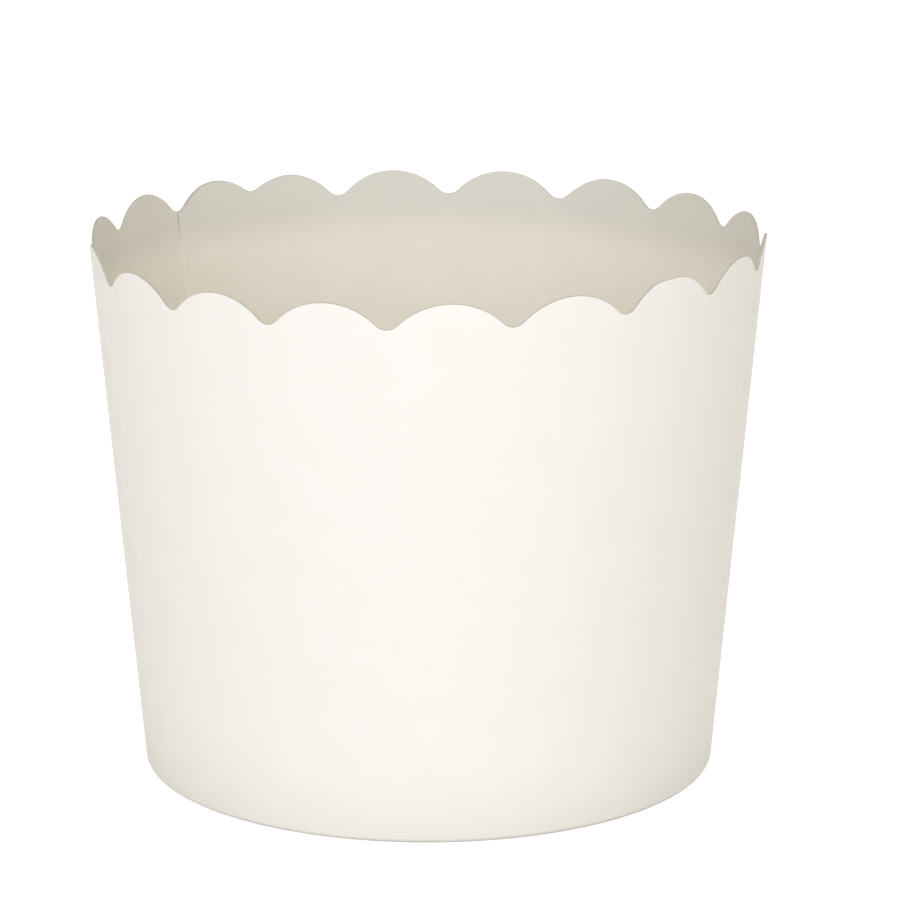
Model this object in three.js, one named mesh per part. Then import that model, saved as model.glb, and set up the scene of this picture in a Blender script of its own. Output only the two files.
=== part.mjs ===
// Scalloped paper baking cup: a fan-shaped paper blank rolled into a cone, its ends lapped and
// glued, its upper edge cut in scallops and its lower edge folded in and up round the skirt of a
// separate paper base. Millimetres, +Z up, origin at the centre of the ring that the cup stands on.
import * as THREE from "three";
import { mergeVertices } from "three/addons/utils/BufferGeometryUtils.js";

// Driving dimensions of the cone, over its outside
const rimDiameter = 60;
const baseDiameter = 51.4;
const cupHeight = 48.3;

// The paper
const wallPaper = 0.3;
const basePaper = 0.3;

// Scalloped edge: round crests of one radius that meet in small round notches. The last two crests
// before the seam stand closer together than the others, so the notch between them is shallower
const scallopCount = 18;
const scallopDepth = 2.2;
const notchRadius = 1.3;
const closeSpacing = 8.3; // along the rim, between the two crests that stand closer

// Lapped side seam: the two ends' scallops lie one behind the other in the lap
const seamBearing = 141.8; // degrees round from +X, of the cut end that shows inside the cup
const lapWidth = 8; // along the rim
const glueFilm = 0.05;
const lapMargin = 1.2; // the step in a layer starts this far clear of the other layer's cut end
const lapRamp = 3; // length of that step

// Base and hem
const baseRecess = 5; // height of the base's underside above the standing ring
const baseBend = 0.3; // inner radius where the base turns down into its skirt
const hemGap = 0.2; // the hem's lip stops this far below that bend
const skirtClearance = 0.05; // between the skirt and the paper on either side of it

// Facets
const facetsPerFlank = 6; // from a notch to a crest
const facetBunching = 0.35; // 0 spaces a flank's facets evenly, more draws them to the notch
const facetsRoundBase = 96;
const foldFlat = THREE.MathUtils.degToRad(18); // half the bend that the fold's flat foot takes up
const bendFacets = 4;

// Derived sizes
const rimRadius = rimDiameter / 2;
const baseRadius = baseDiameter / 2;
const slope = (rimRadius - baseRadius) / cupHeight;
const wallLean = Math.atan(slope);
const rimLength = 2 * Math.PI * rimRadius;
const spacing = (rimLength - closeSpacing) / (scallopCount - 1);
const crestToNotchCentre = ((spacing / 2) ** 2 + scallopDepth ** 2) / (2 * scallopDepth);
const crestRadius = crestToNotchCentre - notchRadius;
const layerStep = wallPaper + glueFilm;
const foldInner = basePaper / 2 + skirtClearance;
const skirtFoot = (foldInner + wallPaper + layerStep) * Math.cos(foldFlat) + skirtClearance;
const hemTop = baseRecess - baseBend - hemGap;

// Directions in the upright half-plane, as [outward, up]
const alongWall = [Math.sin(wallLean), Math.cos(wallLean)];
const normalAt = (angle) => [Math.cos(angle), Math.sin(angle)];

// Radius of the cone's outer face at a height, or of a face that lies a depth inside it
function coneRadius(height, inset = 0) {
  return baseRadius + slope * height - inset / Math.cos(wallLean);
}

// Places of the crests along the rim, from the seam once round, with one more before and after
const crests = Array.from({ length: scallopCount + 2 }, (_, i) =>
  i < scallopCount ? (i - 0.5) * spacing : rimLength + (i - scallopCount - 0.5) * spacing,
);

// Height of the scalloped edge at a place along the rim
function rimHeight(along) {
  const place = THREE.MathUtils.euclideanModulo(along, rimLength);
  const next = crests.findIndex((crest) => crest > place);
  const half = (crests[next] - crests[next - 1]) / 2;
  const fromCrest = Math.min(crests[next] - place, place - crests[next - 1]);
  if (fromCrest < (half * crestRadius) / crestToNotchCentre)
    return cupHeight - crestRadius + Math.sqrt(crestRadius ** 2 - fromCrest ** 2);
  const notchCentre = cupHeight - crestRadius + Math.sqrt(crestToNotchCentre ** 2 - half ** 2);
  return notchCentre - Math.sqrt(notchRadius ** 2 - (half - fromCrest) ** 2);
}

// Places along the rim where the blank is divided into facets, from its outer end, which lies
// behind its inner end by the width of the lap, once round to its inner end at the seam
function facetPlaces() {
  const stops = [];
  for (let i = 1; i < crests.length; i++) {
    stops.push({ place: (crests[i - 1] + crests[i]) / 2, draw: 1 });
    if (i <= scallopCount) stops.push({ place: crests[i], draw: -1 });
  }
  const inLap = stops
    .slice(0, -1)
    .map((stop) => ({ place: stop.place - rimLength, draw: stop.draw }))
    .filter((stop) => stop.place > -lapWidth);
  const ends = [{ place: -lapWidth, draw: 0 }, ...inLap, ...stops];
  const places = [-lapWidth];
  for (let i = 1; i < ends.length; i++) {
    const { place, draw } = ends[i - 1];
    for (let j = 1; j <= facetsPerFlank; j++) {
      const share = j / facetsPerFlank;
      const drawn = (draw * facetBunching * Math.sin(Math.PI * share)) / Math.PI;
      places.push(THREE.MathUtils.lerp(place, ends[i].place, share - drawn));
    }
  }
  return places;
}

// In the lap the blank's outer end steps out by a layer, and its inner end's fold is raised by a
// layer inside the outer end's fold
function outerShift(along) {
  const clear = lapMargin;
  return layerStep * (1 - THREE.MathUtils.smoothstep(along, clear, clear + lapRamp));
}
function foldRaise(along) {
  const clear = rimLength - lapWidth - lapMargin;
  return layerStep * THREE.MathUtils.smoothstep(along, clear - lapRamp, clear);
}

// Normals of the wall's outer face, from the hem over the fold's flat foot to the wall
const foldNormals = [
  -Math.PI - wallLean,
  -0.75 * Math.PI - (wallLean + foldFlat) / 2,
  -Math.PI / 2 - foldFlat,
  -Math.PI / 2 + foldFlat,
  -Math.PI / 4 + (foldFlat - wallLean) / 2,
  -wallLean,
];

// One upright section of the wall, as [outward, up] points in order from the hem's lip to the rim.
// side is 1 on the blank's outer face and 0 on its inner face
function wallSection(along, side) {
  const shift = outerShift(along);
  const raise = foldRaise(along);
  const outer = foldInner + wallPaper + shift;
  const centreHeight = (outer + raise) * Math.cos(foldFlat);
  const centre = [coneRadius(centreHeight, foldInner + wallPaper), centreHeight];
  const radius = outer - (1 - side) * wallPaper;
  const onFold = (angle) => normalAt(angle).map((n, axis) => centre[axis] + radius * n);
  const reach = (point, length) => point.map((p, axis) => p + length * alongWall[axis]);
  // Lengths run to the blank's own cut edges, which are square to the paper, and heights are
  // taken at the higher corner of each: the outer face on the hem, the inner face on the rim
  const hemRise = outer * Math.sin(wallLean);
  const hemLength = (hemTop - centreHeight - hemRise) / alongWall[1];
  const rimFall = (outer - wallPaper) * Math.sin(wallLean);
  const wallLength = (rimHeight(along) - centreHeight + rimFall) / alongWall[1];
  const fold = foldNormals.map(onFold);
  return [reach(fold[0], hemLength), ...fold, reach(fold[fold.length - 1], wallLength)];
}

// The blank as a flat grid of facets, each of whose corners is then placed on its section
function sideWallGeometry() {
  const places = facetPlaces();
  const columns = places.length - 1;
  const rows = foldNormals.length + 1;
  const sheet = new THREE.BoxGeometry(columns, rows, 1, columns, rows, 1);
  sheet.translate(columns / 2, rows / 2, 0.5);
  const corners = sheet.attributes.position;
  for (let i = 0; i < corners.count; i++) {
    const along = places[Math.round(corners.getX(i))];
    const section = wallSection(along, Math.round(corners.getZ(i)));
    const [radius, height] = section[Math.round(corners.getY(i))];
    const bearing = THREE.MathUtils.degToRad(seamBearing) + along / rimRadius;
    corners.setXYZ(i, radius * Math.cos(bearing), radius * Math.sin(bearing), height);
  }
  return joined(sheet);
}

// The base: a flat disc whose edge is turned down into a skirt that follows the wall's lean
function baseDiscGeometry() {
  const outerInset = wallPaper + skirtClearance;
  const innerInset = outerInset + basePaper;
  const bendHeight = baseRecess - baseBend;
  const bendCentre = [coneRadius(bendHeight, innerInset + baseBend), bendHeight];
  const bend = (radius, from, to) =>
    Array.from({ length: bendFacets + 1 }, (_, i) => {
      const [outward, up] = normalAt(THREE.MathUtils.lerp(from, to, i / bendFacets));
      return [bendCentre[0] + radius * outward, bendCentre[1] + radius * up];
    });
  const profile = [
    [0, baseRecess],
    ...bend(baseBend, Math.PI / 2, -wallLean),
    [coneRadius(skirtFoot, innerInset), skirtFoot],
    [coneRadius(skirtFoot, outerInset), skirtFoot],
    ...bend(baseBend + basePaper, -wallLean, Math.PI / 2),
    [0, baseRecess + basePaper],
  ].map(([outward, up]) => new THREE.Vector2(outward, up));
  const turned = new THREE.LatheGeometry(profile, facetsRoundBase);
  turned.rotateX(Math.PI / 2);
  return joined(turned);
}

// Shares the corners that coincide, then sets the normals afresh
function joined(geometry) {
  geometry.deleteAttribute("normal");
  geometry.deleteAttribute("uv");
  const shared = mergeVertices(geometry);
  shared.computeVertexNormals();
  return shared;
}

const wallMaterial = new THREE.MeshStandardMaterial({
  color: 0xf9f5ec,
  roughness: 0.72,
  metalness: 0,
});
const baseMaterial = new THREE.MeshStandardMaterial({
  color: 0xf1ecdf,
  roughness: 0.8,
  metalness: 0,
});

const cup = new THREE.Group();
cup.name = "scalloped_baking_cup";

const sideWall = new THREE.Mesh(sideWallGeometry(), wallMaterial);
sideWall.name = "side_wall";
cup.add(sideWall);

const baseDisc = new THREE.Mesh(baseDiscGeometry(), baseMaterial);
baseDisc.name = "base_disc";
cup.add(baseDisc);

export default cup;
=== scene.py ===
"""Scalloped paper baking cup: a rolled wall and a pressed base. Metres, +Z up; the front faces -Y."""
import math

import bmesh
import bpy
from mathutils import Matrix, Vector, noise


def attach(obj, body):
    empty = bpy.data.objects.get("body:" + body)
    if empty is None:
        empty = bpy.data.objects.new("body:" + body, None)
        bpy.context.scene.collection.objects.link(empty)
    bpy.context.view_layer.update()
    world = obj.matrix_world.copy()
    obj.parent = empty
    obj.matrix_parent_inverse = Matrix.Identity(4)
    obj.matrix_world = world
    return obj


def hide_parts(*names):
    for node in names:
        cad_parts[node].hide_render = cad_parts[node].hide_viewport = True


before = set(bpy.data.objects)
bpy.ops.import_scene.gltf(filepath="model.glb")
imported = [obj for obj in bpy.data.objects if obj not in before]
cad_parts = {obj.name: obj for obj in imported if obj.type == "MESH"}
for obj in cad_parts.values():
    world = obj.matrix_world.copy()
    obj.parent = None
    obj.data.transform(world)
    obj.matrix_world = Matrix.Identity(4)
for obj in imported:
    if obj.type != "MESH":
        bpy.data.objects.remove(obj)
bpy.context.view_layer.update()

MM = 0.001

# The cup's sizes, as the part has them
RIM_RADIUS = 30 * MM
BASE_RADIUS = 25.7 * MM
CUP_HEIGHT = 48.3 * MM
PAPER = 0.3 * MM
SCALLOPS = 18
SCALLOP_DEPTH = 2.2 * MM
NOTCH_RADIUS = 1.3 * MM
CLOSE_SPACING = 8.3 * MM
SEAM_BEARING = math.radians(141.8)
LAP_WIDTH = 8 * MM
BASE_RECESS = 5 * MM
BASE_BEND = 0.3 * MM
HEM_GAP = 0.2 * MM
SKIRT_CLEARANCE = 0.05 * MM
FOLD_FLAT = math.radians(18)

# The glued and pressed lap, whose layers lie closer and step over more gently than in the part
GLUE_FILM = 0.01 * MM
LAP_MARGIN = 0.2 * MM
LAP_RAMP = 7 * MM
END_PRESS = 0.27 * MM  # how much thinner each cut end of the lap is pressed
END_PRESS_LENGTH = 6 * MM

# The pressed and cut paper elsewhere
RIM_PRESS = 0.1 * MM  # how much thinner the cut rim is left, from inside
RIM_PRESS_HEIGHT = 3 * MM  # the rim thins over this height
EDGE_CROWN = 0.03 * MM  # how far the middle of a cut edge stands proud of its corners

# How the wall wanders from a true cone
WANDER = 0.05 * MM
WANDER_FROM = 7 * MM  # it starts at this height and is full at three times it
WANDER_ROUND = 1.6  # cells of noise in the radius of the circle that it follows round the cup
WANDER_UP = 30  # cells of noise to a metre of height

# Wrinkles where the base bends
WRINKLE = 0.025 * MM
WRINKLES = 110
WRINKLE_IN = 2 * MM  # how far in on the flat disc they reach
WRINKLE_DOWN = 1 * MM  # how far down the skirt they reach
WRINKLE_MEAN = 0.6  # their usual share of that height
WRINKLE_SPREAD = 0.4  # how far that share varies round the base
WRINKLE_ROUND = 3  # cells of noise in the radius of the circle that it varies on

# The slight unevenness of the rim: waves round it, their size and the bearing of a peak
RIM_DRIFT = [(1, 0.13, 158), (2, 0.70, 71), (3, 0.31, -21), (4, 0.37, 24)]  # degrees along the rim
RIM_WARP = [(1, 0.10, 38), (2, 0.28, -27), (3, 0.08, 35), (4, 0.07, -20)]  # millimetres up

# Places where the rim is cut a little askew: bearing and half width in degrees, and millimetres up
RIM_CUTS = [(-51, 5, 0.3), (-44, 8, 0.18), (62, 5, -0.15), (120, 5, -0.12), (139.5, 5, -0.18)]

# Derived sizes
SLOPE = (RIM_RADIUS - BASE_RADIUS) / CUP_HEIGHT
LEAN = math.atan(SLOPE)
UP_WALL = (math.sin(LEAN), math.cos(LEAN))  # direction up the wall, as (outward, up)
RIM_LENGTH = 2 * math.pi * RIM_RADIUS
SPACING = (RIM_LENGTH - CLOSE_SPACING) / (SCALLOPS - 1)
CREST_TO_NOTCH = ((SPACING / 2) ** 2 + SCALLOP_DEPTH**2) / (2 * SCALLOP_DEPTH)
CREST_RADIUS = CREST_TO_NOTCH - NOTCH_RADIUS
LAYER_STEP = PAPER + GLUE_FILM
FOLD_INNER = PAPER / 2 + SKIRT_CLEARANCE
SKIRT_FOOT = (FOLD_INNER + PAPER + LAYER_STEP) * math.cos(FOLD_FLAT) + SKIRT_CLEARANCE
HEM_TOP = BASE_RECESS - BASE_BEND - HEM_GAP

# Places of the crests along the rim, from the seam once round, with one more before and after
CRESTS = [(i - 0.5) * SPACING for i in range(SCALLOPS)]
CRESTS += [RIM_LENGTH - SPACING / 2, RIM_LENGTH + SPACING / 2]

# Fineness of the visible meshes
COLUMNS_PER_FLANK = 16
WALL_ROWS = 22
PRESSED_ROWS = 4  # of the wall's rows, those where the rim thins
FOLD_ROWS = 12
HEM_ROWS = 3
EDGE_ROWS = 4
BASE_SEGMENTS = 330
BASE_RINGS = 12
BEND_ROWS = 8
CRISP = math.radians(50)  # edges that turn by more than this stay crisp

# Material slots of the wall and of the base: outer or top face, inner or under face, cut edges
FACE = 0
BACK = 1
CUT = 2

# The camera, from the photograph's perspective
LENS = 170.5
SENSOR = 36
CAMERA_NEAR = 0.01
CAMERA_AWAY = 370.9 * MM
CAMERA_UP = 123.3 * MM
CAMERA_PITCH = math.radians(14.38)
CAMERA_ROLL = math.radians(-0.1)
FRAME_PIXELS = 900
AXIS_PIXEL = 428.2  # the photograph's column that the cup's axis lies on

# Paper colours, as light reflected
OUTER_WHITE = (0.90, 0.883, 0.86)
OUTER_CLOUD = (0.89, 0.871, 0.844)
OUTER_FOOT_SHADE = (0.835, 0.808, 0.755)  # painted shade where the floor shades the foot, and in part where the hem's layers lie behind and less light comes through
# The inside's tones: in part the paper's greyer inner side, in part painted shade inside the cup
INNER_WHITE_AND_SHADE = (0.74, 0.705, 0.635)
INNER_CLOUD_AND_SHADE = (0.723, 0.687, 0.61)
INNER_BAND = (0.62, 0.606, 0.558)  # a little greyer, near the rim
# The cut edges are painted shade: far darker than the paper, for the thin shaded line along them
CUT_SHADE = (0.42, 0.40, 0.355)
CUT_SHADE_CLOUD = (0.36, 0.345, 0.30)

# Heights between which the outside turns to the foot's painted shade, which would be full just below
# the foot
FOOT_SHADE_FROM = 9 * MM
FOOT_SHADE_FULL = -2 * MM

# Height at which the inside turns to the band's tone, and how far above and below it that fades
BAND_MIDDLE = 43.4 * MM
BAND_FADE = 1.9 * MM

# The paper's texture: cells of noise to a metre, depths, and how it changes tone and roughness
CLOUD_CELLS = 260
SPECK_CELLS = 420
ROUGHNESS_CELLS = 900
FIBRE_CELLS = 2600
WAVINESS_CELLS = 170
FIBRE_DEPTH = 0.012 * MM
WAVINESS_DEPTH = 0.03 * MM
SPECK_TONE = 0.9
ROUGHNESS_SPREAD = 0.06
GLOSS = 0.35

# The floor: what it is to the light, and the glow and the shaded part that it shows
FLOOR_SIZE = 1.5
FLOOR_COLOUR = (0.5, 0.49, 0.47)
FLOOR_ROUGHNESS = 0.9
FLOOR_GLOW = 0.86
FLOOR_SHADED = (0.3, 0.3, 0.3)

# The surround, and the lamps: name, place, the point that it faces, diameter, power and colour
SURROUND_COLOUR = (1, 0.962, 0.85)
SURROUND_LEVEL = 0.79
LAMPS = [
    ("front_left", (-0.14, -0.68, 0.36), (0, 0, 0.035), 0.45, 2.62, (0.835, 0.875, 0.985)),
    ("left", (-0.5, -0.52, 0.25), (0, 0, 0.03), 0.45, 0.35, (0.95, 0.95, 1)),
    ("high_right", (0.34, -0.27, 0.66), (0, 0, 0.04), 0.35, 1.25, (1, 0.99, 0.98)),
]


def smoothstep(x, low, high):
    """0 up to low, 1 from high on, and a smooth rise between them."""
    share = min(max((x - low) / (high - low), 0), 1)
    return share * share * (3 - 2 * share)


def spread(length, steps):
    """Even steps along a length, without its start and with its end."""
    return [length * (i + 1) / steps for i in range(steps)]


def cone_radius(height, inset=0):
    """Radius of the cone's outer face at a height, or of a face that lies inside it."""
    return BASE_RADIUS + SLOPE * height - inset / math.cos(LEAN)


def rim_height(along):
    """Height of the scalloped edge at a place along the rim, counted from the seam."""
    place = along % RIM_LENGTH
    after = next(i for i, crest in enumerate(CRESTS) if crest > place)
    half = (CRESTS[after] - CRESTS[after - 1]) / 2
    from_crest = min(CRESTS[after] - place, place - CRESTS[after - 1])
    if from_crest < half * CREST_RADIUS / CREST_TO_NOTCH:
        return CUP_HEIGHT - CREST_RADIUS + math.sqrt(CREST_RADIUS**2 - from_crest**2)
    notch_centre = CUP_HEIGHT - CREST_RADIUS + math.sqrt(CREST_TO_NOTCH**2 - half**2)
    return notch_centre - math.sqrt(NOTCH_RADIUS**2 - (half - from_crest) ** 2)


def waves(terms, bearing):
    """Sum of waves round the rim, each given by its count, its size and the bearing of a peak."""
    return sum(size * math.cos(count * (bearing - math.radians(peak))) for count, size, peak in terms)


def uneven_rim(bearing):
    """How much higher than its true arcs the rim stands at a bearing."""
    up = waves(RIM_WARP, bearing)
    for place, half_width, size in RIM_CUTS:
        away = abs((math.degrees(bearing) - place + 180) % 360 - 180)
        up += size * (1 - smoothstep(away, 0, half_width))
    return up * MM


def wall_wander(bearing, height):
    """How far the wall stands off the cone, the same through its thickness and its layers."""
    share = smoothstep(height, WANDER_FROM, 3 * WANDER_FROM)
    round_cup = (WANDER_ROUND * math.cos(bearing), WANDER_ROUND * math.sin(bearing))
    return WANDER * share * noise.noise(Vector((*round_cup, WANDER_UP * height)))


def wall_rows(length):
    """Distances up the wall of its rows, which are close together where the rim is pressed thinner."""
    even = length - RIM_PRESS_HEIGHT
    pressed = [even + s for s in spread(RIM_PRESS_HEIGHT, PRESSED_ROWS)]
    return spread(even, WALL_ROWS - PRESSED_ROWS) + pressed


def wall_section(along, side):
    """One upright section of the wall as (radius, height), from the hem's lip over the fold to the rim.
    side is 1 on the blank's outer face and 0 on its inner face."""
    shift = LAYER_STEP * (1 - smoothstep(along, LAP_MARGIN, LAP_MARGIN + LAP_RAMP))
    lap_starts = RIM_LENGTH - LAP_WIDTH - LAP_MARGIN
    lift = LAYER_STEP * smoothstep(along, lap_starts - LAP_RAMP, lap_starts)
    outer = FOLD_INNER + PAPER + shift
    centre_up = (outer + lift) * math.cos(FOLD_FLAT)
    centre_out = cone_radius(centre_up, FOLD_INNER + PAPER)
    radius = outer - (1 - side) * PAPER
    outer_end = smoothstep(-along, LAP_WIDTH - END_PRESS_LENGTH, LAP_WIDTH)
    inner_end = smoothstep(along, RIM_LENGTH - END_PRESS_LENGTH, RIM_LENGTH)
    radius += END_PRESS * (-outer_end if side else inner_end)
    rim_press = RIM_PRESS * (1 - max(outer_end, inner_end))
    foot = lift + (1 - side) * PAPER
    fold = []
    for i in range(FOLD_ROWS + 1):
        turn = math.pi * i / FOLD_ROWS - math.pi - LEAN
        up = max(centre_up + radius * math.sin(turn), foot)
        fold.append((centre_out + radius * math.cos(turn), up))
    out, rise = UP_WALL
    hem_length = (HEM_TOP - centre_up - outer * out) / rise
    top = rim_height(along) + uneven_rim(SEAM_BEARING + along / RIM_RADIUS)
    wall_length = (top - centre_up + (outer - PAPER) * out) / rise
    hem = [(fold[0][0] + s * out, fold[0][1] + s * rise) for s in spread(hem_length, HEM_ROWS)]
    wall = [(fold[-1][0] + s * out, fold[-1][1] + s * rise) for s in wall_rows(wall_length)]
    if not side:
        wall = [(r + rim_press * smoothstep(z, top - RIM_PRESS_HEIGHT, top), z) for r, z in wall]
    return hem[::-1] + fold + wall


def cut_edge(start, end, outwards):
    """Points between the corners of a cut edge, which is very slightly crowned."""
    points = []
    for i in range(1, EDGE_ROWS):
        share = i / EDGE_ROWS
        crown = EDGE_CROWN * 4 * share * (1 - share)
        points.append(tuple(a + (b - a) * share + crown * n for a, b, n in zip(start, end, outwards)))
    return points


def wall_places():
    """Places along the rim of the mesh's columns, from the blank's outer end to its inner end."""
    stops = []
    for before, crest in zip(CRESTS, CRESTS[1:]):
        stops += [(before + crest) / 2, crest]
    stops = stops[:-1]
    in_lap = [s - RIM_LENGTH for s in stops[:-1] if s - RIM_LENGTH > -LAP_WIDTH]
    stops = [-LAP_WIDTH] + in_lap + stops
    places = [stops[0]]
    for start, end in zip(stops, stops[1:]):
        places += [start + s for s in spread(end - start, COLUMNS_PER_FLANK)]
    return places


def new_object(name, bm, materials):
    """An object in the scene, made from a mesh in progress and its material slots."""
    mesh = bpy.data.meshes.new(name)
    bm.normal_update()
    bm.to_mesh(mesh)
    bm.free()
    for material in materials:
        mesh.materials.append(material)
    made = bpy.data.objects.new(name, mesh)
    bpy.context.scene.collection.objects.link(made)
    return made


def add_face(bm, corners, material):
    face = bm.faces.new(corners)
    face.material_index = material
    face.smooth = True


def mark_sharp(bm):
    """Edges where the paper's faces meet its cut edges stay crisp."""
    for edge in bm.edges:
        materials = {face.material_index for face in edge.link_faces}
        if len(materials) > 1 or edge.calc_face_angle(0) > CRISP:
            edge.smooth = False


def make_wall():
    """The rolled wall: columns of vertices that run round one section each, joined by faces."""
    bm = bmesh.new()
    columns = []
    for along in wall_places():
        bearing = SEAM_BEARING + along / RIM_RADIUS
        outer = wall_section(along, 1)
        inner = wall_section(along, 0)
        rim = cut_edge(outer[-1], inner[-1], UP_WALL)
        lip = cut_edge(inner[0], outer[0], UP_WALL)
        column = []
        for radius, height in outer + rim + inner[::-1] + lip:
            turned = bearing + math.radians(waves(RIM_DRIFT, bearing)) * height / CUP_HEIGHT
            radius += wall_wander(bearing, height)
            column.append(bm.verts.new((radius * math.cos(turned), radius * math.sin(turned), height)))
        columns.append(column)
    outer_ends = len(outer)
    inner_starts = outer_ends + len(rim)
    inner_ends = inner_starts + len(inner)
    count = len(column)
    for left, right in zip(columns, columns[1:]):
        for i in range(count):
            j = (i + 1) % count
            material = CUT
            if i < outer_ends - 1:
                material = FACE
            elif inner_starts <= i < inner_ends - 1:
                material = BACK
            add_face(bm, (left[i], right[i], right[j], left[j]), material)
    for column, flip in ((columns[0], 1), (columns[-1], -1)):
        outer = column[:outer_ends]
        inner = column[inner_starts:inner_ends][::-1]
        for j in range(outer_ends - 1):
            add_face(bm, (inner[j], outer[j], outer[j + 1], inner[j + 1])[::flip], BACK)
        rim_cap = [outer[-1]] + column[outer_ends:inner_starts] + [inner[-1]]
        lip_cap = [inner[0]] + column[inner_ends:] + [outer[0]]
        add_face(bm, rim_cap[::-flip], CUT)
        add_face(bm, lip_cap[::-flip], CUT)
    mark_sharp(bm)
    return bm


def base_profile():
    """The base's section as (radius, height): from the middle of its top over the bend to the skirt's
    foot, and back under it; with the number of points on the top, and where the bend starts."""
    outer_inset = PAPER + SKIRT_CLEARANCE
    inner_inset = outer_inset + PAPER
    bend_up = BASE_RECESS - BASE_BEND
    bend_out = cone_radius(bend_up, inner_inset + BASE_BEND)
    flat = spread(bend_out, BASE_RINGS)[:-1]
    turns = [math.pi / 2 - (math.pi / 2 + LEAN) * i / BEND_ROWS for i in range(BEND_ROWS + 1)]

    def bend(radius):
        return [(bend_out + radius * math.cos(a), bend_up + radius * math.sin(a)) for a in turns]

    top = [(radius, BASE_RECESS + PAPER) for radius in flat] + bend(BASE_BEND + PAPER)
    under = [(radius, BASE_RECESS) for radius in flat] + bend(BASE_BEND)
    top.append((cone_radius(SKIRT_FOOT, outer_inset), SKIRT_FOOT))
    under.append((cone_radius(SKIRT_FOOT, inner_inset), SKIRT_FOOT))
    return top + under[::-1], len(top), (bend_out, bend_up)


def wrinkle(bearing):
    """Height of the base's wrinkles at a bearing, where they are deepest."""
    round_base = (WRINKLE_ROUND * math.cos(bearing), WRINKLE_ROUND * math.sin(bearing))
    uneven = WRINKLE_MEAN + WRINKLE_SPREAD * noise.noise(Vector((*round_base, 0)))
    return WRINKLE * uneven * math.cos(WRINKLES * bearing)


def make_base():
    """The base: a flat disc turned down into a skirt, faintly wrinkled where it bends."""
    profile, top_ends, (bend_out, bend_up) = base_profile()
    bearings = [2 * math.pi * k / BASE_SEGMENTS for k in range(BASE_SEGMENTS)]
    bm = bmesh.new()
    rings = []
    for radius, height in profile:
        on_flat = smoothstep(radius, bend_out - WRINKLE_IN, bend_out)
        on_skirt = smoothstep(height, bend_up - WRINKLE_DOWN, bend_up)
        ring = []
        for bearing in bearings:
            up = height + on_flat * on_skirt * wrinkle(bearing)
            ring.append(bm.verts.new((radius * math.cos(bearing), radius * math.sin(bearing), up)))
        rings.append(ring)
    for row, (ring, after) in enumerate(zip(rings, rings[1:])):
        material = BACK
        if row < top_ends - 1:
            material = FACE
        elif row == top_ends - 1:
            material = CUT
        for k in range(BASE_SEGMENTS):
            j = (k + 1) % BASE_SEGMENTS
            add_face(bm, (ring[k], after[k], after[j], ring[j]), material)
    middles = ((rings[0], BASE_RECESS + PAPER, 1, FACE), (rings[-1], BASE_RECESS, -1, BACK))
    for ring, height, flip, material in middles:
        centre = bm.verts.new((0, 0, height))
        for k in range(BASE_SEGMENTS):
            j = (k + 1) % BASE_SEGMENTS
            add_face(bm, (centre, ring[k], ring[j])[::flip], material)
    mark_sharp(bm)
    return bm


class Nodes:
    """Adds and links shader nodes of one material."""

    def __init__(self, material):
        material.use_nodes = True
        self.material = material
        self.tree = material.node_tree
        self.shader = self.tree.nodes["Principled BSDF"]
        self.place = self.add("ShaderNodeTexCoord").outputs["Object"]

    def add(self, kind, **settings):
        node = self.tree.nodes.new(kind)
        for name, value in settings.items():
            setattr(node, name, value)
        return node

    def link(self, source, target):
        self.tree.links.new(source, target)

    def noise(self, scale, detail=2, roughness=0.5, stretch=(1, 1, 1)):
        mapping = self.add("ShaderNodeMapping")
        mapping.inputs["Scale"].default_value = stretch
        self.link(self.place, mapping.inputs["Vector"])
        texture = self.add("ShaderNodeTexNoise")
        texture.inputs["Scale"].default_value = scale
        texture.inputs["Detail"].default_value = detail
        texture.inputs["Roughness"].default_value = roughness
        self.link(mapping.outputs["Vector"], texture.inputs["Vector"])
        return texture.outputs["Fac"]

    def map(self, value, low, high, to_low, to_high):
        node = self.add("ShaderNodeMapRange", interpolation_type="SMOOTHSTEP")
        self.link(value, node.inputs["Value"])
        node.inputs["From Min"].default_value = low
        node.inputs["From Max"].default_value = high
        node.inputs["To Min"].default_value = to_low
        node.inputs["To Max"].default_value = to_high
        return node.outputs["Result"]

    def mix(self, share, first, second):
        node = self.add("ShaderNodeMix", data_type="RGBA")
        self.link(share, node.inputs["Factor"])
        for socket, colour in (("A", first), ("B", second)):
            target = next(s for s in node.inputs if s.name == socket and s.type == "RGBA")
            if isinstance(colour, tuple):
                target.default_value = (*colour, 1)
            else:
                self.link(colour, target)
        return next(s for s in node.outputs if s.type == "RGBA")

    def bump(self, height, strength, depth):
        node = self.add("ShaderNodeBump")
        node.inputs["Strength"].default_value = strength
        node.inputs["Distance"].default_value = depth
        self.link(height, node.inputs["Height"])
        return node


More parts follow.
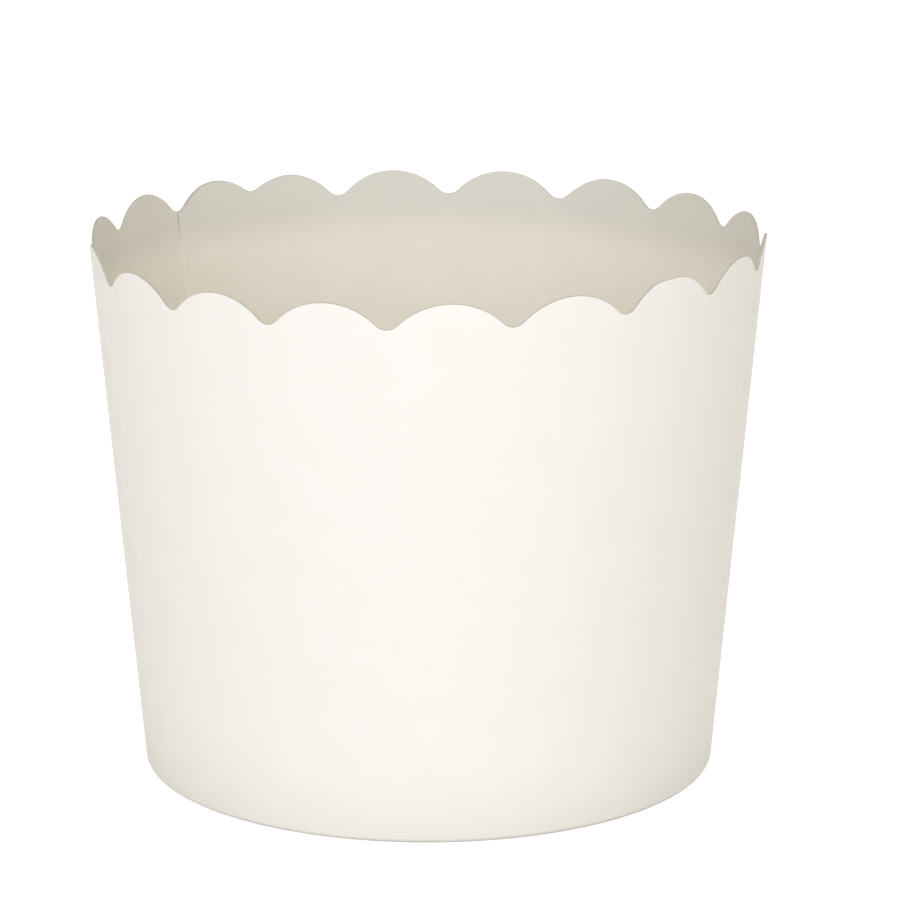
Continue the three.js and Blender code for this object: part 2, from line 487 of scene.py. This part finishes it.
def paper(name, white, cloud, roughness, specked, band=None, band_from=0, band_to=0):
    """Paper with cloudy formation, faint specks, a fine fibre grain and another tone by height (painted
    shade at the outer foot).
    """
    nodes = Nodes(bpy.data.materials.new(name))
    shader = nodes.shader.inputs
    clouds = nodes.map(nodes.noise(CLOUD_CELLS, 4, 0.6), 0.35, 0.68, 0, 1)
    colour = nodes.mix(clouds, white, cloud)
    if band:
        height = nodes.add("ShaderNodeSeparateXYZ")
        nodes.link(nodes.place, height.inputs["Vector"])
        colour = nodes.mix(nodes.map(height.outputs["Z"], band_from, band_to, 0, 1), colour, band)
    specks = nodes.map(nodes.noise(SPECK_CELLS, 1, 0.4), 0.71, 0.8, 0, specked)
    colour = nodes.mix(specks, colour, tuple(SPECK_TONE * c for c in cloud))
    nodes.link(colour, shader["Base Color"])
    uneven = nodes.noise(ROUGHNESS_CELLS, 3)
    rough = nodes.map(uneven, 0.3, 0.7, roughness - ROUGHNESS_SPREAD, roughness + ROUGHNESS_SPREAD)
    nodes.link(rough, shader["Roughness"])
    shader["Specular IOR Level"].default_value = GLOSS
    fibre = nodes.bump(nodes.noise(FIBRE_CELLS, 5, 0.65, (1, 1, 0.45)), 0.35, FIBRE_DEPTH)
    waviness = nodes.bump(nodes.noise(WAVINESS_CELLS, 2), 0.5, WAVINESS_DEPTH)
    nodes.link(fibre.outputs["Normal"], waviness.inputs["Normal"])
    nodes.link(waviness.outputs["Normal"], shader["Normal"])
    return nodes.material


def seen_directly(tree):
    """1 on rays from the camera, a gloss or a glass, and 0 on those that carry light to surfaces."""
    path = tree.nodes.new("ShaderNodeLightPath")
    total = path.outputs["Is Camera Ray"]
    for name in ("Is Glossy Ray", "Is Transmission Ray"):
        add = tree.nodes.new("ShaderNodeMath")
        add.operation = "MAXIMUM"
        tree.links.new(total, add.inputs[0])
        tree.links.new(path.outputs[name], add.inputs[1])
        total = add.outputs["Value"]
    return total


def choose(tree, as_light, as_seen, output):
    """Shows one shader where it is seen directly, and gives light by another."""
    mix = tree.nodes.new("ShaderNodeMixShader")
    tree.links.new(seen_directly(tree), mix.inputs["Fac"])
    tree.links.new(as_light, mix.inputs[1])
    tree.links.new(as_seen, mix.inputs[2])
    tree.links.new(mix.outputs["Shader"], tree.nodes[output].inputs["Surface"])


def make_floor():
    """A pale floor that looks white where nothing shades it, and keeps the cup's soft shadow."""
    material = bpy.data.materials.new("floor")
    material.use_nodes = True
    tree = material.node_tree
    plain = tree.nodes["Principled BSDF"]
    plain.inputs["Base Color"].default_value = (*FLOOR_COLOUR, 1)
    plain.inputs["Roughness"].default_value = FLOOR_ROUGHNESS
    plain.inputs["Specular IOR Level"].default_value = 0
    glow = tree.nodes.new("ShaderNodeEmission")
    glow.inputs["Strength"].default_value = FLOOR_GLOW
    shaded = tree.nodes.new("ShaderNodeBsdfDiffuse")
    shaded.inputs["Color"].default_value = (*FLOOR_SHADED, 1)
    both = tree.nodes.new("ShaderNodeAddShader")
    tree.links.new(glow.outputs["Emission"], both.inputs[0])
    tree.links.new(shaded.outputs["BSDF"], both.inputs[1])
    choose(tree, plain.outputs["BSDF"], both.outputs["Shader"], "Material Output")
    bm = bmesh.new()
    bmesh.ops.create_grid(bm, x_segments=1, y_segments=1, size=FLOOR_SIZE)
    new_object("floor", bm, [material])


def make_camera():
    """The camera, in front of the cup and above it, looking down at it."""
    data = bpy.data.cameras.new("camera")
    data.lens = LENS
    data.sensor_width = SENSOR
    data.clip_start = CAMERA_NEAR
    data.shift_x = (FRAME_PIXELS / 2 - AXIS_PIXEL) / FRAME_PIXELS
    camera = bpy.data.objects.new("camera", data)
    camera.location = (0, -CAMERA_AWAY, CAMERA_UP)
    camera.rotation_euler = (math.pi / 2 - CAMERA_PITCH, 0, 0)
    camera.rotation_euler.rotate_axis("Z", CAMERA_ROLL)
    bpy.context.scene.collection.objects.link(camera)
    bpy.context.scene.camera = camera


def area_light(name, place, target, size, power, colour):
    """A round, soft lamp that faces a point."""
    data = bpy.data.lights.new(name, "AREA")
    data.shape = "DISK"
    data.size = size
    data.energy = power
    data.color = colour
    lamp = bpy.data.objects.new(name, data)
    lamp.location = place
    lamp.rotation_euler = (Vector(target) - Vector(place)).to_track_quat("-Z", "Y").to_euler()
    bpy.context.scene.collection.objects.link(lamp)


def make_light():
    """An even, slightly warm surround, a broad soft lamp in front, and weaker ones left and right."""
    world = bpy.data.worlds.new("world")
    world.use_nodes = True
    tree = world.node_tree
    surround = tree.nodes["Background"]
    surround.inputs["Color"].default_value = (*SURROUND_COLOUR, 1)
    surround.inputs["Strength"].default_value = SURROUND_LEVEL
    white = tree.nodes.new("ShaderNodeBackground")
    white.inputs["Color"].default_value = (1, 1, 1, 1)
    white.inputs["Strength"].default_value = 1
    choose(tree, surround.outputs["Background"], white.outputs["Background"], "World Output")
    bpy.context.scene.world = world
    for lamp in LAMPS:
        area_light(*lamp)


# The outside darkens towards the foot: painted shade, with a little of the hem's layers letting less
# light through
outer_paper = paper(
    "wall_outer", OUTER_WHITE, OUTER_CLOUD, 0.52, 0.05, OUTER_FOOT_SHADE, FOOT_SHADE_FROM, FOOT_SHADE_FULL
)
band_heights = (BAND_MIDDLE - BAND_FADE, BAND_MIDDLE + BAND_FADE)
# The inner wall and the base's top are darker than the outside: in part their own side of the paper, in
# part painted shade
inner_paper = paper("wall_inner", INNER_WHITE_AND_SHADE, INNER_CLOUD_AND_SHADE, 0.66, 0.45, INNER_BAND, *band_heights)
# The cut edges' material is painted shade, darker than the paper
cut_paper = paper("paper_cut", CUT_SHADE, CUT_SHADE_CLOUD, 0.8, 0.2)
base_paper = paper("base_top", INNER_WHITE_AND_SHADE, INNER_CLOUD_AND_SHADE, 0.66, 0.45)
under_paper = paper("base_under", OUTER_WHITE, OUTER_CLOUD, 0.6, 0.2)

wall = new_object("rolled_wall", make_wall(), [outer_paper, inner_paper, cut_paper])
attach(wall, "root")
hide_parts("side_wall")

base = new_object("pressed_base", make_base(), [base_paper, under_paper, cut_paper])
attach(base, "root")
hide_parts("base_disc")

make_floor()
make_camera()
make_light()
bpy.context.scene.view_settings.view_transform = "Standard"
